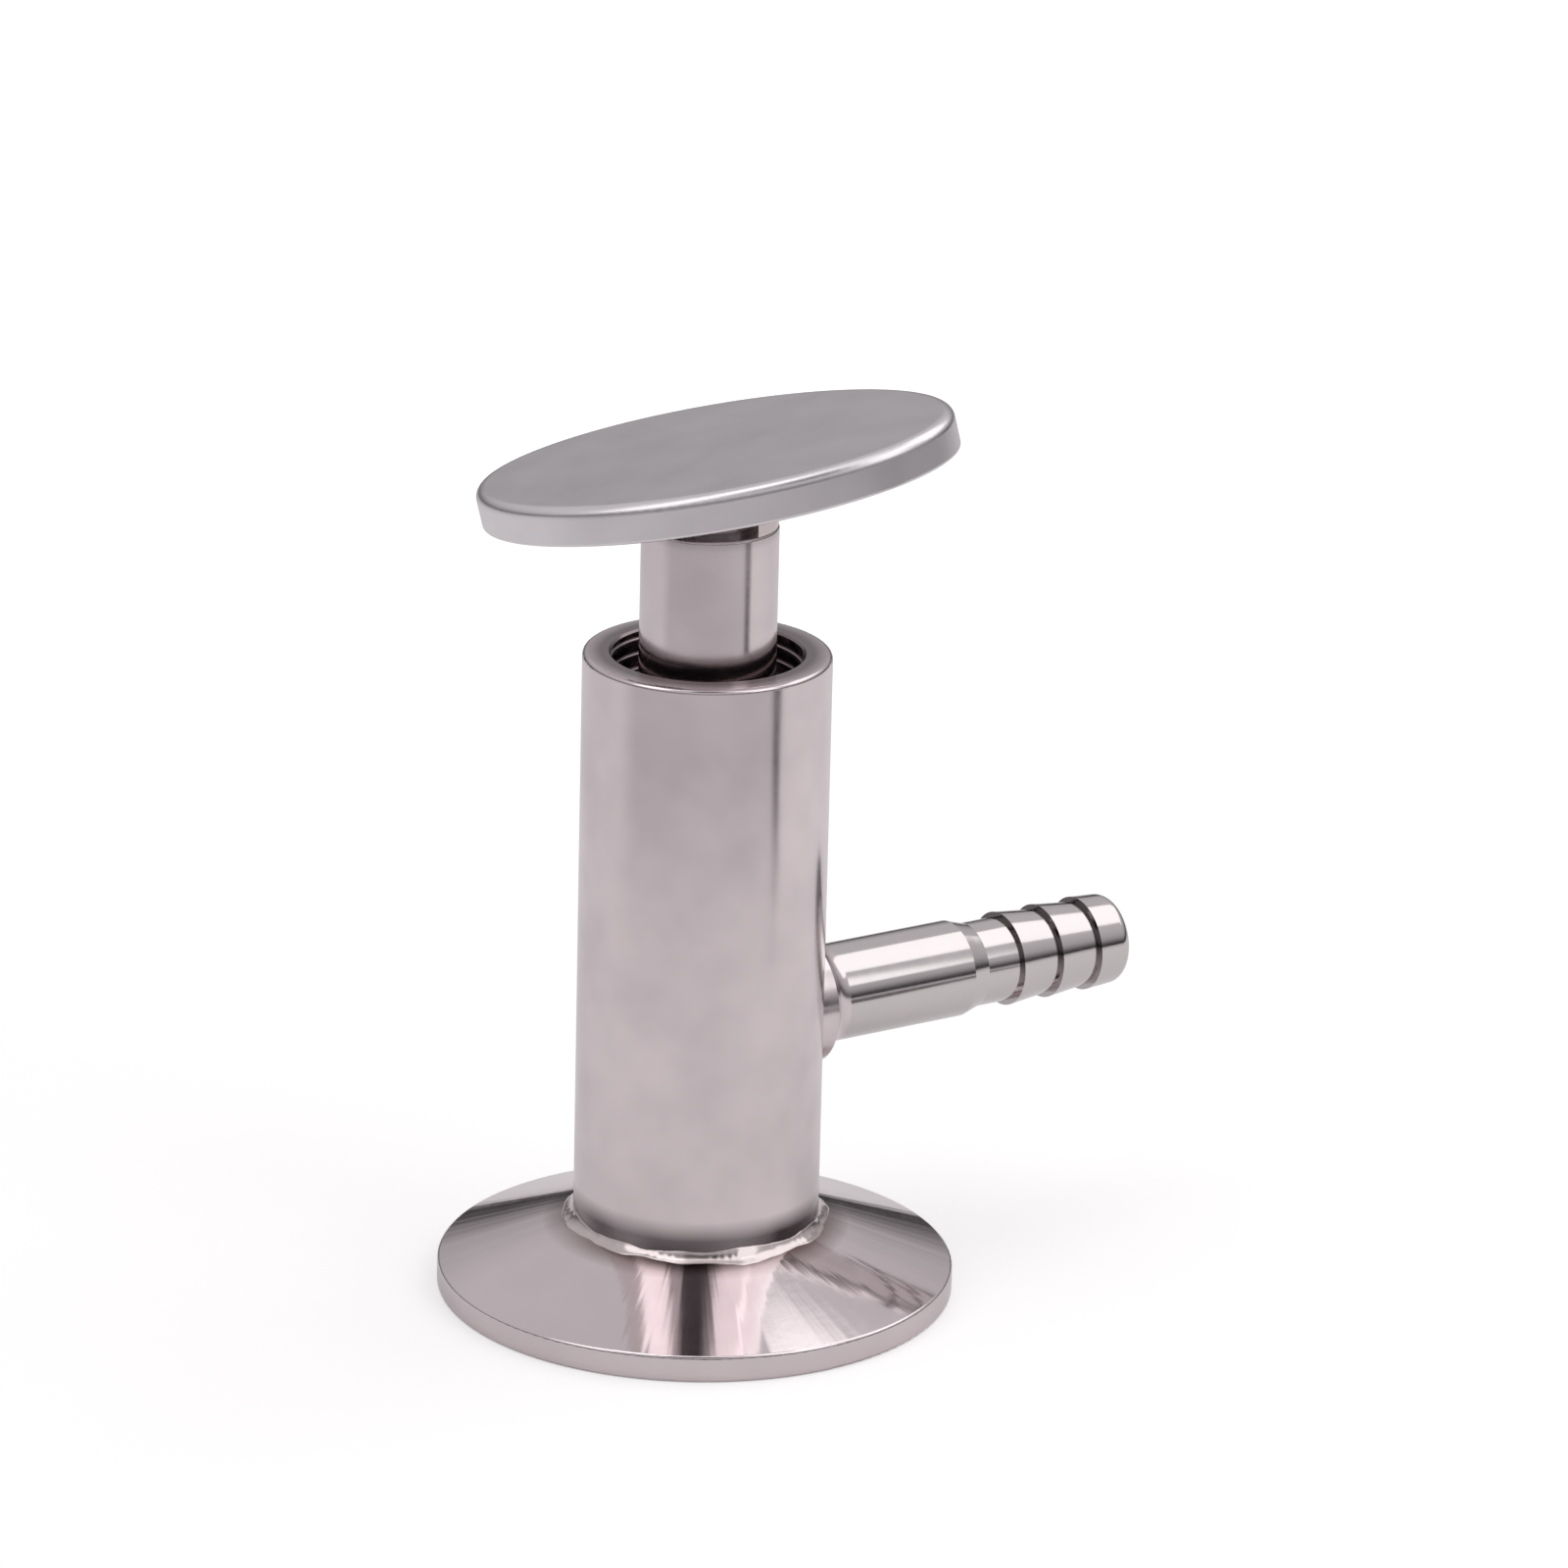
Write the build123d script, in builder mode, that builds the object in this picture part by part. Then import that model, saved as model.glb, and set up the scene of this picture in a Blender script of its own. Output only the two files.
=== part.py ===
from build123d import *
import os
from math import atan2, cos, degrees, radians, sin, sqrt, tan

# Sanitary sampling valve: clamp ferrule, welded body tube, barbed spout, screw stem.
# Millimetres. Origin at the centre of the ferrule's gasket face, +Z up the stem,
# +X out along the spout. The valve is modelled closed.

# Clearances
running_gap = 0.05           # turned pairs that slide or turn on each other, radial
seal_gap = 0.05              # soft seals, clear of what they press on
seat_gap = 0.3               # shoulders that face each other across a moving joint

# Clamp ferrule
ferrule_r = 25.25
rim_height = 2.6
rim_round = 0.35
cone_angle = 20.0
groove_pitch_r = 21.75       # gasket groove in the face
groove_round_r = 1.65
groove_depth = 1.3
port_r = 4.0                 # product inlet
seat_width = 2.2             # 45 degree seat above the inlet

# Body tube
body_r = 12.0
body_top = 65.0
body_edge_round = 0.5
chamber_r = 8.0
guide_top = 50.0             # the guide bore ends here and the thread starts
thread_bore_r = 9.25
mouth_chamfer = 0.2

# Spout
spout_z = 27.6
spout_r = 4.8
spout_bore_r = 2.75
spigot_wall_step = 0.3       # the end let into the body is turned down by this
spout_socket_wall = 1.2      # wall left between the chamber and the spout's end
shoulder_x = 29.0
shoulder_length = 2.0
barb_core_r = 4.2
barb_r = 4.7
barb_count = 3
barb_pitch = 4.6
first_barb_x = 34.9
barb_land = 3.9              # last barb, from its edge to the tip
tip_round = 1.2
tip_bore_chamfer = 0.3

# Weld beads
foot_bead_width = 1.1
foot_bead_height = 0.45
foot_bead_crown = 0.3
spout_bead_r = 6.4
spout_bead_length = 2.4

# Stem
shank_r = 6.6
shank_edge_round = 0.3
neck_r = 5.0                 # turned down where the handle is welded on
collar_r = 8.95
collar_length = 9.0
collar_chamfer = 0.8
relief_r = 6.2               # thread run-out above the piston
piston_bottom = 36.0
piston_length = 11.0
piston_chamfer = 0.5
spindle_r = 4.5
ring_section_r = 0.85
ring_groove_width = 2.1
lower_ring_z = 38.4
ring_spacing = 5.6
guide_ring_width = 2.0
guide_ring_wall = 0.65

# Swivelling seal at the stem's foot
seal_below_foot = 1.6        # how far the seal reaches into the seat
seal_thickness = 4.6
screw_hole_r = 1.6
screw_r = 1.5
screw_head_r = 2.6
screw_head_height = 1.4
screw_length = 6.4
screw_socket_r = 1.2
screw_socket_depth = 0.8
washer_r = 2.8
washer_thickness = 0.5
holder_r = 6.2
holder_thickness = 3.0
holder_chamfer = 0.6
spigot_r = 2.5
spigot_length = 7.6
swivel_groove_r = 1.5
swivel_pin_r = 0.8
swivel_pin_height = 4.6      # above the holder
swivel_pin_length = 7.2

# Handle: a flat oval plate, welded on at a slant
handle_long_r = 23.7
handle_short_r = 16.0
handle_thickness = 3.8
handle_z = 85.3              # middle of the plate's top
handle_slant = 13.6
handle_raised_heading = -35.6    # compass direction of the raised side, from +X
handle_long_heading = -47.5      # compass direction of the long axis
handle_top_round = 1.0
handle_bottom_round = 0.3
handle_tack_arc = 55.0           # visible tack on the raised side
handle_back_arc = 150.0          # main weld, on the far side
handle_tack_heading = -50.0
handle_back_heading = 85.0
handle_weld_r = 6.1

# Places worked out from the sizes above
foot_z = rim_height + (ferrule_r - body_r) * tan(radians(cone_angle))
seat_bottom = foot_z - seat_width
handle_under_z = handle_z - handle_thickness / cos(radians(handle_slant))
shank_top = handle_under_z - shank_r * tan(radians(handle_slant))
collar_bottom = guide_top + seat_gap
collar_top = collar_bottom + collar_length
piston_r = chamber_r - running_gap
piston_top = piston_bottom + piston_length
ring_outer_r = chamber_r - seal_gap
ring_r = ring_outer_r - ring_section_r
groove_floor_r = ring_r - ring_section_r - seal_gap
upper_ring_z = lower_ring_z + ring_spacing
guide_ring_z = (lower_ring_z + upper_ring_z) / 2
guide_groove_r = ring_outer_r - guide_ring_wall - running_gap
seal_bottom = foot_z - seal_below_foot
seal_top = seal_bottom + seal_thickness
washer_top = seal_bottom + washer_thickness + screw_head_height + running_gap
washer_bottom = washer_top - washer_thickness
holder_bottom = seal_top
holder_top = holder_bottom + holder_thickness
stem_bottom = holder_top + running_gap
swivel_pin_z = holder_top + swivel_pin_height
swivel_pin_y = swivel_groove_r + running_gap + swivel_pin_r
spigot_outer_r = spout_r - spigot_wall_step
spout_start = chamber_r + spout_socket_wall
spout_shoulder_x = body_r + spout_bead_length
spout_tip = first_barb_x + (barb_count - 1) * barb_pitch + barb_land
spout_axis = Axis((0, 0, spout_z), (1, 0, 0))
spout_section = Plane(origin=(0, 0, spout_z), x_dir=(1, 0, 0), z_dir=(0, -1, 0))
spout_end = Plane(origin=(spout_start, 0, spout_z), x_dir=(0, 1, 0), z_dir=(1, 0, 0))


def heading(angle, tilt):
    """Unit direction at a compass angle, lifted by tilt degrees."""
    flat = cos(radians(tilt))
    return Vector(flat * cos(radians(angle)), flat * sin(radians(angle)), sin(radians(tilt)))


def slanted_heading(angle):
    """Direction within the handle's plane that lies above a compass angle."""
    rise = tan(radians(handle_slant)) * cos(radians(angle - handle_raised_heading))
    return heading(angle, degrees(atan2(rise, 1)))


handle_up = heading(handle_raised_heading + 180, 90 - handle_slant)
handle_top_plane = Plane(
    origin=(0, 0, handle_z),
    x_dir=slanted_heading(handle_long_heading),
    z_dir=handle_up,
)
handle_under_plane = handle_top_plane.offset(-handle_thickness)


def save(piece, name):
    """Label a finished piece and write its STEP file."""
    piece.part.label = name
    export_step(piece.part, f"parts/{name}.step")


os.makedirs("parts", exist_ok=True)

# Ferrule: rim, back cone, gasket groove, inlet and seat in one turned profile
groove_centre_z = groove_depth - groove_round_r
with BuildPart() as ferrule:
    with BuildSketch(Plane.XZ):
        with BuildLine():
            Polyline(
                (port_r, 0),
                (ferrule_r, 0),
                (ferrule_r, rim_height),
                (body_r, foot_z),
                (port_r + seat_width, foot_z),
                (port_r, seat_bottom),
                close=True,
            )
        make_face()
        with Locations((groove_pitch_r, groove_centre_z)):
            Circle(groove_round_r, mode=Mode.SUBTRACT)
    revolve(axis=Axis.Z)
    rim_edges = ferrule.edges().filter_by(GeomType.CIRCLE).filter_by(
        lambda edge: abs(edge.radius - ferrule_r) < 0.01
    )
    fillet(rim_edges, rim_round)
save(ferrule, "ferrule")

# Weld bead where the body tube stands on the ferrule's cone
bead_outer_r = body_r + foot_bead_width
bead_outer_z = foot_z - foot_bead_width * tan(radians(cone_angle))
bead_crown_r = body_r + foot_bead_width / 2 + foot_bead_crown
bead_crown_z = (foot_z + foot_bead_height + bead_outer_z) / 2 + foot_bead_crown
with BuildPart() as ferrule_weld_bead:
    with BuildSketch(Plane.XZ):
        with BuildLine():
            Polyline(
                (bead_outer_r, bead_outer_z),
                (body_r, foot_z),
                (body_r, foot_z + foot_bead_height),
            )
            ThreePointArc(
                (body_r, foot_z + foot_bead_height),
                (bead_crown_r, bead_crown_z),
                (bead_outer_r, bead_outer_z),
            )
        make_face()
    revolve(axis=Axis.Z)
save(ferrule_weld_bead, "ferrule_weld_bead")

# Body tube: guide bore below, threaded bore above, socket for the spout in its side
with BuildPart() as body_tube:
    with BuildSketch(Plane.XY.offset(foot_z)):
        Circle(body_r)
    extrude(amount=body_top - foot_z)
    fillet(body_tube.faces().sort_by(Axis.Z)[-1].outer_wire().edges(), body_edge_round)
    with BuildSketch(Plane.XY.offset(foot_z)):
        Circle(chamber_r)
    extrude(amount=guide_top - foot_z, mode=Mode.SUBTRACT)
    with BuildSketch(Plane.XY.offset(guide_top)):
        Circle(thread_bore_r)
    extrude(amount=body_top - guide_top, mode=Mode.SUBTRACT)
    mouth = body_tube.faces().sort_by(Axis.Z)[-1].inner_wires().edges()
    chamfer(mouth, mouth_chamfer)
    with BuildSketch(spout_end):
        Circle(spigot_outer_r)
    extrude(amount=body_r, mode=Mode.SUBTRACT)
    with BuildSketch(spout_end):
        Circle(spout_bore_r)
    extrude(amount=-spout_start, mode=Mode.SUBTRACT)
save(body_tube, "body_tube")

# Hose spout: plain tube, shoulder, and barbs whose sharp edges face the body
with BuildPart() as hose_spout:
    with BuildSketch(spout_section):
        with BuildLine():
            outline = [
                (spout_start, spout_bore_r),
                (spout_start, spigot_outer_r),
                (spout_shoulder_x, spigot_outer_r),
                (spout_shoulder_x, spout_r),
                (shoulder_x, spout_r),
                (shoulder_x + shoulder_length, barb_core_r),
            ]
            for number in range(barb_count):
                edge_x = first_barb_x + number * barb_pitch
                outline += [(edge_x, barb_core_r), (edge_x, barb_r)]
            outline += [(spout_tip, barb_r - (barb_r - barb_core_r) / 2)]
            outline += [(spout_tip, spout_bore_r)]
            Polyline(*outline, close=True)
        make_face()
    revolve(axis=spout_axis)
    tip_edges = hose_spout.faces().sort_by(Axis.X)[-1].edges()
    fillet(tip_edges.sort_by(SortBy.RADIUS)[-1], tip_round)
    chamfer(hose_spout.faces().sort_by(Axis.X)[-1].inner_wires().edges(), tip_bore_chamfer)
save(hose_spout, "hose_spout")

# Weld bead where the spout enters the body
with BuildPart() as spout_weld_bead:
    with BuildSketch(spout_section):
        with BuildLine():
            Polyline(
                (spout_shoulder_x, spout_r),
                (spout_shoulder_x, spigot_outer_r),
                (spout_start, spigot_outer_r),
                (spout_start, spout_bead_r),
                (body_r, spout_bead_r),
            )
            ThreePointArc(
                (body_r, spout_bead_r),
                (body_r + spout_bead_length * 0.3, spout_r + (spout_bead_r - spout_r) * 0.4),
                (spout_shoulder_x, spout_r),
            )
        make_face()
    revolve(axis=spout_axis)
    with BuildSketch(Plane.XY.offset(foot_z)):
        Circle(body_r)
    extrude(amount=body_top - foot_z, mode=Mode.SUBTRACT)
save(spout_weld_bead, "spout_weld_bead")


piston_grooves = (
    (lower_ring_z, ring_groove_width, groove_floor_r),
    (guide_ring_z, guide_ring_width + 2 * running_gap, guide_groove_r),
    (upper_ring_z, ring_groove_width, groove_floor_r),
)

# Stem: spindle, sealing piston, threaded collar, shank and neck, turned in one piece
with BuildPart() as stem:
    with BuildSketch(Plane.XZ):
        Polygon(
            (0, stem_bottom),
            (spindle_r, stem_bottom),
            (spindle_r, piston_bottom),
            (piston_r, piston_bottom),
            (piston_r, piston_top),
            (relief_r, piston_top),
            (relief_r, collar_bottom),
            (collar_r, collar_bottom),
            (collar_r, collar_top),
            (shank_r, collar_top),
            (shank_r, shank_top),
            (neck_r, shank_top),
            (neck_r, handle_z),
            (0, handle_z),
            align=None,
        )
    revolve(axis=Axis.Z)
    turned_edges = stem.edges().filter_by(GeomType.CIRCLE)
    piston_edges = turned_edges.filter_by(lambda edge: abs(edge.radius - piston_r) < 0.01)
    collar_edges = turned_edges.filter_by(lambda edge: abs(edge.radius - collar_r) < 0.01)
    shank_edges = turned_edges.filter_by(lambda edge: abs(edge.radius - shank_r) < 0.01)
    chamfer(piston_edges, piston_chamfer)
    chamfer(collar_edges, collar_chamfer)
    fillet(shank_edges.sort_by(Axis.Z)[-1], shank_edge_round)
    split(bisect_by=handle_under_plane, keep=Keep.BOTTOM)
    for groove_z, groove_width, floor_r in piston_grooves:
        with BuildSketch(Plane.XY.offset(groove_z - groove_width / 2)):
            Circle(piston_r + running_gap)
            Circle(floor_r, mode=Mode.SUBTRACT)
        extrude(amount=groove_width, mode=Mode.SUBTRACT)
    with BuildSketch(Plane.XY.offset(stem_bottom)):
        Circle(spigot_r + running_gap)
    extrude(amount=spigot_length + seat_gap, mode=Mode.SUBTRACT)
    with BuildSketch(Plane.YZ):
        with Locations((swivel_pin_y, swivel_pin_z), (-swivel_pin_y, swivel_pin_z)):
            Circle(swivel_pin_r)
    extrude(amount=spindle_r, both=True, mode=Mode.SUBTRACT)
save(stem, "stem")

# Soft rings and the guide ring that ride on the piston
ring_heights = {"stem_o_ring_lower": lower_ring_z, "stem_o_ring_upper": upper_ring_z}
for ring_name, ring_z in ring_heights.items():
    with BuildPart() as o_ring:
        with BuildSketch(Plane.XZ):
            with Locations((ring_r, ring_z)):
                Circle(ring_section_r)
        revolve(axis=Axis.Z)
    save(o_ring, ring_name)

with BuildPart() as stem_guide_ring:
    with BuildSketch(Plane.XY.offset(guide_ring_z - guide_ring_width / 2)):
        Circle(ring_outer_r)
        Circle(ring_outer_r - guide_ring_wall, mode=Mode.SUBTRACT)
    extrude(amount=guide_ring_width)
save(stem_guide_ring, "stem_guide_ring")

# Two cross pins that keep the seal holder in the stem and let it swivel
with BuildPart() as swivel_pins:
    with BuildSketch(Plane.YZ.offset(-swivel_pin_length / 2)):
        with Locations((swivel_pin_y, swivel_pin_z), (-swivel_pin_y, swivel_pin_z)):
            Circle(swivel_pin_r)
    extrude(amount=swivel_pin_length)
save(swivel_pins, "swivel_pins")

# Seal holder: disc with a grooved spigot that turns in the stem's foot
with BuildPart() as seal_holder:
    with BuildSketch(Plane.XY.offset(holder_bottom)):
        Circle(holder_r)
    extrude(amount=holder_thickness)
    chamfer(seal_holder.faces().sort_by(Axis.Z)[-1].edges(), holder_chamfer)
    with BuildSketch(Plane.XY.offset(holder_top)):
        Circle(spigot_r)
    extrude(amount=spigot_length)
    with BuildSketch(Plane.XY.offset(swivel_pin_z - swivel_pin_r - running_gap)):
        Circle(spigot_r)
        Circle(swivel_groove_r, mode=Mode.SUBTRACT)
    extrude(amount=2 * (swivel_pin_r + running_gap), mode=Mode.SUBTRACT)
    with BuildSketch(Plane.XY.offset(holder_bottom)):
        Circle(screw_r)
    extrude(amount=washer_bottom + screw_length - holder_bottom + seat_gap, mode=Mode.SUBTRACT)
save(seal_holder, "seal_holder")

# Seat seal: tapered soft ring that closes on the ferrule's seat
seal_cone_shift = seal_gap * sqrt(2)
seal_foot_r = port_r + seat_width - seal_below_foot - seal_cone_shift
with BuildPart() as seat_seal:
    with BuildSketch(Plane.XZ):
        Polygon(
            (washer_r + running_gap, seal_bottom),
            (seal_foot_r, seal_bottom),
            (seal_foot_r + seal_below_foot + running_gap, foot_z + running_gap),
            (seal_foot_r + seal_below_foot + running_gap, seal_top),
            (screw_hole_r, seal_top),
            (screw_hole_r, washer_top),
            (washer_r + running_gap, washer_top),
            align=None,
        )
    revolve(axis=Axis.Z)
save(seat_seal, "seat_seal")

with BuildPart() as seal_washer:
    with BuildSketch(Plane.XY.offset(washer_bottom)):
        Circle(washer_r)
        Circle(screw_hole_r, mode=Mode.SUBTRACT)
    extrude(amount=washer_thickness)
save(seal_washer, "seal_washer")

with BuildPart() as seal_screw:
    with BuildSketch(Plane.XY.offset(washer_bottom)):
        Circle(screw_head_r)
    extrude(amount=-screw_head_height)
    with BuildSketch(Plane.XY.offset(washer_bottom)):
        Circle(screw_r)
    extrude(amount=screw_length)
    with BuildSketch(Plane.XY.offset(washer_bottom - screw_head_height)):
        RegularPolygon(screw_socket_r, 6)
    extrude(amount=screw_socket_depth, mode=Mode.SUBTRACT)
save(seal_screw, "seal_screw")

# Handle plate: flat oval with a soft upper edge and a crisp lower one
with BuildPart() as handle_plate:
    with BuildSketch(handle_under_plane):
        Ellipse(handle_long_r, handle_short_r)
    extrude(amount=handle_thickness)
    along_normal = Axis((0, 0, 0), handle_up)
    plate_faces = handle_plate.faces().filter_by(GeomType.PLANE).sort_by(along_normal)
    fillet(plate_faces[-1].edges(), handle_top_round)
    fillet(plate_faces[0].edges(), handle_bottom_round)
save(handle_plate, "handle_plate")

# Handle weld: bead in the wedge between the shank's end and the slanted plate
weld_arcs = ((handle_back_heading, handle_back_arc), (handle_tack_heading, handle_tack_arc))
with BuildPart() as handle_weld:
    for weld_heading, weld_arc in weld_arcs:
        first = heading(weld_heading - weld_arc / 2, 0)
        section = Plane(origin=(0, 0, 0), x_dir=first, z_dir=first.cross(Vector(0, 0, 1)))
        with BuildSketch(section):
            with BuildLine():
                Polyline(
                    (neck_r, shank_top),
                    (handle_weld_r, shank_top),
                    (handle_weld_r, handle_z),
                    (neck_r, handle_z),
                    close=True,
                )
            make_face()
        revolve(axis=Axis.Z, revolution_arc=weld_arc)
    split(bisect_by=handle_under_plane, keep=Keep.BOTTOM)
save(handle_weld, "handle_weld")
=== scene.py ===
import math

import bmesh
import bpy
from bpy.props import FloatProperty, FloatVectorProperty, PointerProperty
from mathutils import Matrix, Vector, noise


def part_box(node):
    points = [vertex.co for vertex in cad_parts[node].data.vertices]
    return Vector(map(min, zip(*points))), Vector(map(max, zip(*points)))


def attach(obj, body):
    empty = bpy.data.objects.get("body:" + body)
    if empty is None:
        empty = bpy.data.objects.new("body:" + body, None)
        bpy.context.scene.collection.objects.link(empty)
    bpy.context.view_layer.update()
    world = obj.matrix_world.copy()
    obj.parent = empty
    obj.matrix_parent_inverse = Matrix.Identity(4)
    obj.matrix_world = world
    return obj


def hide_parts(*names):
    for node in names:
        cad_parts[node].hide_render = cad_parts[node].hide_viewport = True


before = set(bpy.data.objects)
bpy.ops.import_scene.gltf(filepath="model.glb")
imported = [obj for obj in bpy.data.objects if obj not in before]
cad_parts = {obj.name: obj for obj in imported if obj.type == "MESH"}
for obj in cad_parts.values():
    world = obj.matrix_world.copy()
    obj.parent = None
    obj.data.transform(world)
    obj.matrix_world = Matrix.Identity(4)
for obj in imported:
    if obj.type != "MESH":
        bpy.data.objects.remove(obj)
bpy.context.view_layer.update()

bl_info = {
    "name": "Sanitary sampling valve",
    "version": (1, 0, 0),
    "blender": (4, 5, 0),
    "location": "View3D > Sidebar > Valve",
    "description": "Dresses the sampling valve and sets its studio stage",
    "category": "Object",
}

MM = 0.001


# ---------------------------------------------------------------- fixed sizes and tables

# Packed surfaces that the added detail lies on
THREAD_BORE_R = 9.25 * MM
COLLAR_R = 8.95 * MM
SHANK_R = 6.6 * MM

# Where the two threads run
MOUTH_THREAD_DROP = 0.6 * MM
MOUTH_THREAD_LENGTH = 14.4 * MM
COLLAR_THREAD_LENGTH = 7.5 * MM

# Weld discolouring with painted shade beside the welds: reach in millimetres, sRGB hex
TUBE_TINT_AND_SHADE = (2.7, "2A2022")
CONE_TINT_AND_SHADE = (3.0, "8A7672")
# painted shade in the gap between the shank's top and the plate
GAP_SHADE = (2.4, "1E1818")
DARKENING_RISE = 0.9 * MM        # middle of a darkened band above the foot, and of the one above the shoulder under the plate
GAP_SHADE_R = 5.2 * MM
BEAD_DARKENING_INSET = 0.8 * MM  # middle of the cone's darkening inside the bead's edge

# Greasy film with painted shade in the mouth and on the collar: radius where the steel is undarkened,
# radius where it is darkest, sRGB hex
BORE_GREASE_AND_SHADE = (11.9 * MM, 10.2 * MM, "8A7E80")
COLLAR_GREASE_AND_SHADE = (6.7 * MM, 7.2 * MM, "5A5052")

# Painted dark reflection on the back faces of the spout's barbs
STEP_REFLECTION_TONE = "3A3234"

NOISE_RANGE = (0.3, 0.7)    # where nearly all of a noise lies
STREAKS_PER_RADIUS = 11.0   # streaks are about 1.1 mm wide beside the weld, 12 mm from the axis

# Softboxes: name, degrees to the viewer's right, degrees up, size in metres, share of the lamp power
SOFTBOXES = (
    ("left_softbox", -60, 56, (0.22, 0.46), 0.88),
    ("right_softbox", 58, 47, (0.24, 0.46), 0.8),
    ("back_softbox", 118, 48, (0.4, 0.34), 1.0),
)
SOFTBOX_REACH = 0.5         # metres from the point they aim at
SOFTBOX_AIM = Vector((0, 0, 0.045))

# Dark strip on the table: in metres, and radians to the viewer's right
FLAG_TONE = "5E5A5C"
FLAG_ASIDE = math.radians(67)
FLAG_NEAR = 0.14
FLAG_FAR = 0.34
FLAG_HALF_WIDTH = 0.034
FLAG_TAPER = 0.2            # near end's width as a share of the far end's
FLAG_LIFT = 0.001

# Greyer table towards the viewer, in metres and degrees to the viewer's right
CARD_RADII = (0.1, 0.3, 1.4)
CARD_FADE = (0.105, 0.165)
CARD_LIFT = 0.0005
CARD_START = -100
CARD_SWEEP = 185
CARD_STEPS = 24

# Ramps: place along the ramp, sRGB hex. Headings run once round, with the viewer's at 0.5.
CARD_EDGES = ((0.27, "000000"), (0.32, "FFFFFF"), (0.685, "FFFFFF"), (0.705, "000000"))
CARD_TONES = ((0.0, "F4F3F3"), (1.0, "DAD8D9"))
TENT_TONES = (
    (0.0, "2E2C2E"), (0.07, "4A484A"), (0.17, "8E8C8E"), (0.27, "B2B0B2"), (0.5, "C8C6C8"),
    (0.86, "CAC8CA"), (0.97, "FFFFFF"))
PANEL_HEIGHTS = ((0.66, "000000"), (0.74, "FFFFFF"), (0.93, "FFFFFF"), (0.97, "000000"))
PANEL_TONES = (
    (0.24, "CAC8CA"), (0.29, "C0BEC0"), (0.385, "C0BEC0"), (0.392, "5A565A"), (0.408, "5A565A"),
    (0.416, "C0BEC0"), (0.446, "C0BEC0"), (0.453, "383438"), (0.547, "383438"), (0.554, "8A888A"),
    (0.59, "9A989A"), (0.6, "C0BEC0"), (0.7, "C0BEC0"), (0.75, "CAC8CA"))

# Floor's lift towards white: distances in metres, and the lift at each
FLOOR_LIFT_REACH = (0.12, 0.6)
FLOOR_LIFT = (0.35, 1.0)

# Colour sockets of a mix node
COLOUR_A = 6
COLOUR_B = 7
COLOUR_RESULT = 2


# ---------------------------------------------------------------- colours and settings

def srgb(hex_colour):
    """Linear RGBA from an sRGB hex colour such as D8CECF."""
    levels = [int(hex_colour[start:start + 2], 16) / 255 for start in (0, 2, 4)]
    linear = [v / 12.92 if v <= 0.04045 else ((v + 0.055) / 1.055) ** 2.4 for v in levels]
    return (*linear, 1.0)


def colour(name, description, hex_colour):
    """Colour property with its default written as sRGB hex."""
    return FloatVectorProperty(
        name=name, description=description, default=srgb(hex_colour),
        size=4, min=0.0, max=1.0, subtype="COLOR",
    )


def length(name, description, millimetres):
    """Length property with its default written in millimetres."""
    return FloatProperty(name=name, description=description, default=millimetres * MM, unit="LENGTH")


def angle(name, description, degrees):
    """Angle property with its default written in degrees."""
    return FloatProperty(
        name=name, description=description, default=math.radians(degrees), subtype="ANGLE")


class ValveColours(bpy.types.PropertyGroup):
    """Colours of the valve's finishes and of the table."""

    satin: colour("Satin steel", "Mechanically polished 304 stainless steel", "E3D8DA")
    plate: colour("Plate steel", "Brushed 304 stainless plate of the handle", "E9E5E7")
    bright: colour("Bright steel", "Buffed 304 stainless steel", "DAD4D4")
    greased_and_shaded: colour("Greased steel", "304 stainless thread under grease", "8E8284")
    # Thread steel made darker: a greasy film with painted shade of the bore
    weld: colour("Weld metal", "Brushed-off weld metal", "D9CDCD")
    rubber: colour("EPDM", "Moulded black EPDM rubber", "1B1B1C")
    ptfe: colour("PTFE", "Turned white PTFE", "ECEBE4")
    floor: colour("Floor", "Plain pale table", "F4F3F3")


class ValveSizes(bpy.types.PropertyGroup):
    """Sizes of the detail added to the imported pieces."""

    thread_pitch: length("Thread pitch", "Rise of the stem in one turn", 1.5)
    thread_width: length("Thread width", "Width of a thread's root", 0.8)
    thread_crest: length("Thread crest", "Width of a thread's crest", 0.3)
    thread_height: length("Thread height", "How far the shown thread stands out", 0.22)
    shank_drop: length("Shank drop", "How far the shank's shoulder ends below the packed one", 1.9)
    cone_angle: angle("Cone angle", "Slope of the ferrule's back", 20.0)
    weld_leg: length("Weld leg", "Mean width of the foot weld", 1.0)
    leg_wander: length("Leg wander", "How far the foot weld's width strays", 0.65)
    ripple_height: length("Ripple height", "Height of the ripples on the foot weld", 0.006)
    ripple_pitch: length("Ripple pitch", "Distance between the ripples of the foot weld", 1.3)


class ValveStage(bpy.types.PropertyGroup):
    """Camera, floor and light."""

    view_heading: angle("View heading", "Compass direction in which the camera looks", 57.4)
    view_drop: angle("View drop", "How far the camera looks down", 18.97)
    view_roll: angle("View roll", "Lean of the camera about its own axis", 1.42)
    view_distance: length("View distance", "From the camera to the aim point", 753.0)
    aim_height: length("Aim height", "Height of the aim point", 51.8)
    aim_aside: length("Aim offset", "How far right of the stem the camera aims", 7.6)
    lens: FloatProperty(
        name="Lens", description="Focal length on a 36 mm sensor", default=180.0, unit="CAMERA")
    floor_size: length("Floor size", "Side of the square floor", 4000.0)
    lamp_power: FloatProperty(
        name="Lamp power", description="Power of a softbox with a full share", default=0.35,
        unit="POWER")


# ---------------------------------------------------------------- materials

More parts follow.
